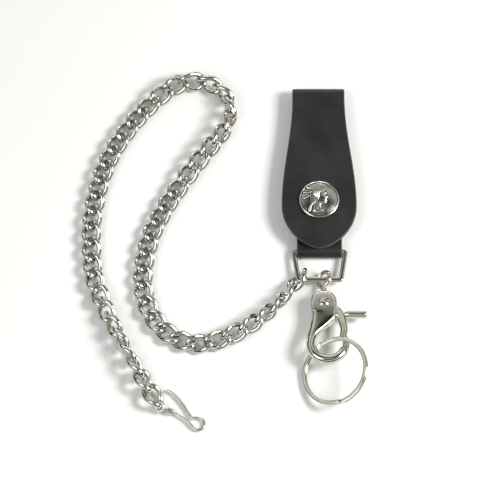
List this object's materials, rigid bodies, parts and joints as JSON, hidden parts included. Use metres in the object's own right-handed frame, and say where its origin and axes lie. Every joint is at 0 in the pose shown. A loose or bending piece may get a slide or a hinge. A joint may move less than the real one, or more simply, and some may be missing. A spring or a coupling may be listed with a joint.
{
  "type": "wallet chain",
  "caption": "Curb chain on a leather belt loop: a coin-capped snap closes the loop, a ring holds the chain and a trigger clasp with a split key ring, and a spring wire clip ends the chain.",
  "frame": {"origin": "on the rear face of the belt loop, which lies on the table, under the middle of the snap", "axes": "+Y runs up the belt loop to the fold that the belt passes through, +Z points away from the table, out of the coin"},
  "size_m": [0.1485, 0.203, 0.0188],
  "materials": {
    "leather": "smooth black leather, semi-matte, with darker burnished edges",
    "coin": "struck nickel silver, bright on the high points and darkened in the hollows",
    "snap_metal": "nickel-plated brass, satin",
    "ring_metal": "nickel plate, polished, slightly warm",
    "clasp_metal": "nickel-plated die casting, polished",
    "spring_metal": "spring steel, oiled",
    "key_ring_metal": "nickel-plated flat spring wire, bright",
    "chain_metal": "nickel-plated steel wire, polished",
    "clip_metal": "nickel-plated spring wire, satin"
  },
  "bodies": {
    "belt_loop": {"leather_back": "leather", "belt_fold": "leather", "snap_stud": "snap_metal", "stud_post": "snap_metal"},
    "flap": {"leather_flap": "leather", "coin_cap": "coin", "cap_post": "snap_metal", "snap_socket": "snap_metal"},
    "ring": {"strap_ring": "ring_metal"},
    "swivel": {"swivel_eye": "clasp_metal"},
    "clasp": {"clasp_body": "clasp_metal", "gate_rivet": "clasp_metal", "gate_spring": "spring_metal"},
    "gate": {"clasp_gate": "clasp_metal"},
    "keys": {"key_ring": "key_ring_metal"},
    "chain_01": {"chain_01": "chain_metal"},
    "chain_02": {"chain_02": "chain_metal"},
    "chain_03": {"chain_03": "chain_metal"},
    "chain_04": {"chain_04": "chain_metal"},
    "chain_05": {"chain_05": "chain_metal"},
    "chain_06": {"chain_06": "chain_metal"},
    "chain_07": {"chain_07": "chain_metal"},
    "chain_08": {"chain_08": "chain_metal"},
    "chain_09": {"chain_09": "chain_metal"},
    "chain_10": {"chain_10": "chain_metal"},
    "chain_11": {"chain_11": "chain_metal"},
    "chain_12": {"chain_12": "chain_metal"},
    "chain_13": {"chain_13": "chain_metal"},
    "chain_14": {"chain_14": "chain_metal"},
    "chain_15": {"chain_15": "chain_metal"},
    "chain_16": {"chain_16": "chain_metal"},
    "chain_17": {"chain_17": "chain_metal"},
    "chain_18": {"chain_18": "chain_metal"},
    "chain_19": {"chain_19": "chain_metal"},
    "chain_20": {"chain_20": "chain_metal"},
    "chain_21": {"chain_21": "chain_metal"},
    "chain_22": {"chain_22": "chain_metal"},
    "chain_23": {"chain_23": "chain_metal"},
    "chain_24": {"chain_24": "chain_metal"},
    "chain_25": {"chain_25": "chain_metal"},
    "chain_26": {"chain_26": "chain_metal"},
    "clip": {"clip_wire": "clip_metal", "clip_sleeve": "clip_metal", "clip_bight": "clip_metal"},
    "clip_spring_arm": {"clip_arm": "clip_metal"}
  },
  "joints": [
    {"name": "flap_open", "type": "hinge", "parent": "belt_loop", "child": "flap", "pos_m": [0, 0.062, 0.0046], "axis": [-1, 0, 0], "range_deg": [0, 120], "deforming": ["belt_fold"]},
    {"name": "ring_swing", "type": "hinge", "parent": "belt_loop", "child": "ring", "pos_m": [0, -0.0268, 0.00335], "axis": [-1, 0, 0], "range_deg": [-60, 90]},
    {"name": "eye_swing", "type": "hinge", "parent": "ring", "child": "swivel", "pos_m": [0.002, -0.04328, 0.0042], "axis": [-1, 0, 0], "range_deg": [-26, 18]},
    {"name": "clasp_swivel", "type": "hinge", "parent": "swivel", "child": "clasp", "pos_m": [0.002, -0.05319, 0.00551], "axis": [0, -0.9914, 0.1305], "continuous": true},
    {"name": "gate_open", "type": "hinge", "parent": "clasp", "child": "gate", "pos_m": [0.002, -0.05815, 0.00616], "axis": [0, -0.1305, -0.9914], "range_deg": [0, 5], "stiffness_Nm_per_rad": 0.02, "springref_deg": -17.19},
    {"name": "key_ring_swing", "type": "hinge", "parent": "clasp", "child": "keys", "pos_m": [-0.00182, -0.0891, 0.01023], "axis": [0.766, -0.6373, 0.0839], "range_deg": [-3, 15]},
    {"name": "chain_01_swing", "type": "hinge", "parent": "ring", "child": "chain_01", "pos_m": [-0.0098, -0.04328, 0.0042], "axis": [-1, 0, 0], "range_deg": [-7, 40]},
    {"name": "chain_02_turn", "type": "hinge", "parent": "chain_01", "child": "chain_02", "pos_m": [-0.01917, -0.0547, 0.00562], "axis": [0, 0, 1], "range_deg": [-10, 10]},
    {"name": "chain_03_lift", "type": "hinge", "parent": "chain_02", "child": "chain_03", "pos_m": [-0.03239, -0.06718, 0.00557], "axis": [0.5958, -0.8032, 0], "range_deg": [-15, 15]},
    {"name": "chain_04_turn", "type": "hinge", "parent": "chain_03", "child": "chain_04", "pos_m": [-0.04817, -0.0763, 0.00473], "axis": [0, 0, -1], "range_deg": [-10, 10]},
    {"name": "chain_05_lift", "type": "hinge", "parent": "chain_04", "child": "chain_05", "pos_m": [-0.06613, -0.07939, 0.00281], "axis": [0.1579, 0.9875, 0], "range_deg": [-15, 15]},
    {"name": "chain_06_turn", "type": "hinge", "parent": "chain_05", "child": "chain_06", "pos_m": [-0.08212, -0.0706, 0.00286], "axis": [0, 0, 1], "range_deg": [-10, 10]},
    {"name": "chain_07_lift", "type": "hinge", "parent": "chain_06", "child": "chain_07", "pos_m": [-0.09034, -0.05429, 0.00286], "axis": [-0.9656, -0.2602, 0], "range_deg": [-15, 15]},
    {"name": "chain_08_turn", "type": "hinge", "parent": "chain_07", "child": "chain_08", "pos_m": [-0.09154, -0.03613, 0.00286], "axis": [0, 0, -1], "range_deg": [-10, 10]},
    {"name": "chain_09_lift", "type": "hinge", "parent": "chain_08", "child": "chain_09", "pos_m": [-0.08799, -0.01827, 0.00286], "axis": [0.953, -0.3029, 0], "range_deg": [-15, 15]},
    {"name": "chain_10_turn", "type": "hinge", "parent": "chain_09", "child": "chain_10", "pos_m": [-0.08053, -0.00169, 0.00281], "axis": [0, 0, 1], "range_deg": [-10, 10]},
    {"name": "chain_11_lift", "type": "hinge", "parent": "chain_10", "child": "chain_11", "pos_m": [-0.07095, 0.01376, 0.00349], "axis": [-0.8298, 0.558, 0], "range_deg": [-15, 15]},
    {"name": "chain_12_turn", "type": "hinge", "parent": "chain_11", "child": "chain_12", "pos_m": [-0.06034, 0.0285, 0.0049], "axis": [0, 0, -1], "range_deg": [-9, 10]},
    {"name": "chain_13_lift", "type": "hinge", "parent": "chain_12", "child": "chain_13", "pos_m": [-0.04886, 0.04273, 0.00551], "axis": [0.9004, -0.435, 0], "range_deg": [-15, 15]},
    {"name": "chain_14_turn", "type": "hinge", "parent": "chain_13", "child": "chain_14", "pos_m": [-0.04673, 0.06079, 0.00554], "axis": [0, 0, 1], "range_deg": [-10, 5]},
    {"name": "chain_15_lift", "type": "hinge", "parent": "chain_14", "child": "chain_15", "pos_m": [-0.06163, 0.07169, 0.00528], "axis": [-0.1994, -0.9799, 0], "range_deg": [-15, 15]},
    {"name": "chain_16_turn", "type": "hinge", "parent": "chain_15", "child": "chain_16", "pos_m": [-0.0793, 0.06738, 0.00439], "axis": [0, 0, -1], "range_deg": [-4, 10]},
    {"name": "chain_17_lift", "type": "hinge", "parent": "chain_16", "child": "chain_17", "pos_m": [-0.09235, 0.05458, 0.00281], "axis": [-0.7525, 0.6586, 0], "range_deg": [-15, 15]},
    {"name": "chain_18_turn", "type": "hinge", "parent": "chain_17", "child": "chain_18", "pos_m": [-0.10315, 0.03994, 0.00286], "axis": [0, 0, 1], "range_deg": [-10, 6]},
    {"name": "chain_19_lift", "type": "hinge", "parent": "chain_18", "child": "chain_19", "pos_m": [-0.11137, 0.02373, 0.00286], "axis": [0.934, -0.3572, 0], "range_deg": [-15, 15]},
    {"name": "chain_20_turn", "type": "hinge", "parent": "chain_19", "child": "chain_20", "pos_m": [-0.11623, 0.00621, 0.00286], "axis": [0, 0, -1], "range_deg": [-8, 10]},
    {"name": "chain_21_lift", "type": "hinge", "parent": "chain_20", "child": "chain_21", "pos_m": [-0.11862, -0.01181, 0.00286], "axis": [-0.9985, 0.0553, 0], "range_deg": [-15, 15]},
    {"name": "chain_22_turn", "type": "hinge", "parent": "chain_21", "child": "chain_22", "pos_m": [-0.11834, -0.02999, 0.0028], "axis": [0, 0, 1], "range_deg": [-10, 10]},
    {"name": "chain_23_lift", "type": "hinge", "parent": "chain_22", "child": "chain_23", "pos_m": [-0.11545, -0.04793, 0.00371], "axis": [0.9634, 0.2682, 0], "range_deg": [-15, 15]},
    {"name": "chain_24_turn", "type": "hinge", "parent": "chain_23", "child": "chain_24", "pos_m": [-0.10893, -0.0649, 0.00535], "axis": [0, 0, -1], "range_deg": [-10, 10]},
    {"name": "chain_25_lift", "type": "hinge", "parent": "chain_24", "child": "chain_25", "pos_m": [-0.10081, -0.08116, 0.00558], "axis": [-0.8861, -0.4636, 0], "range_deg": [-15, 15]},
    {"name": "chain_26_turn", "type": "hinge", "parent": "chain_25", "child": "chain_26", "pos_m": [-0.09244, -0.09729, 0.00541], "axis": [0, 0, 1], "range_deg": [-10, 10]},
    {"name": "clip_swing", "type": "hinge", "parent": "chain_26", "child": "clip", "pos_m": [-0.08208, -0.11454, 0.00332], "axis": [-0.3073, -0.3067, 0.9009], "range_deg": [-20, 20]},
    {"name": "clip_arm_open", "type": "hinge", "parent": "clip", "child": "clip_spring_arm", "pos_m": [-0.0626, -0.1232, 0.0012], "axis": [0, 0, -1], "range_deg": [0, 20], "stiffness_Nm_per_rad": 0.01, "springref_deg": -11.46, "deforming": ["clip_bight"]}
  ]
}
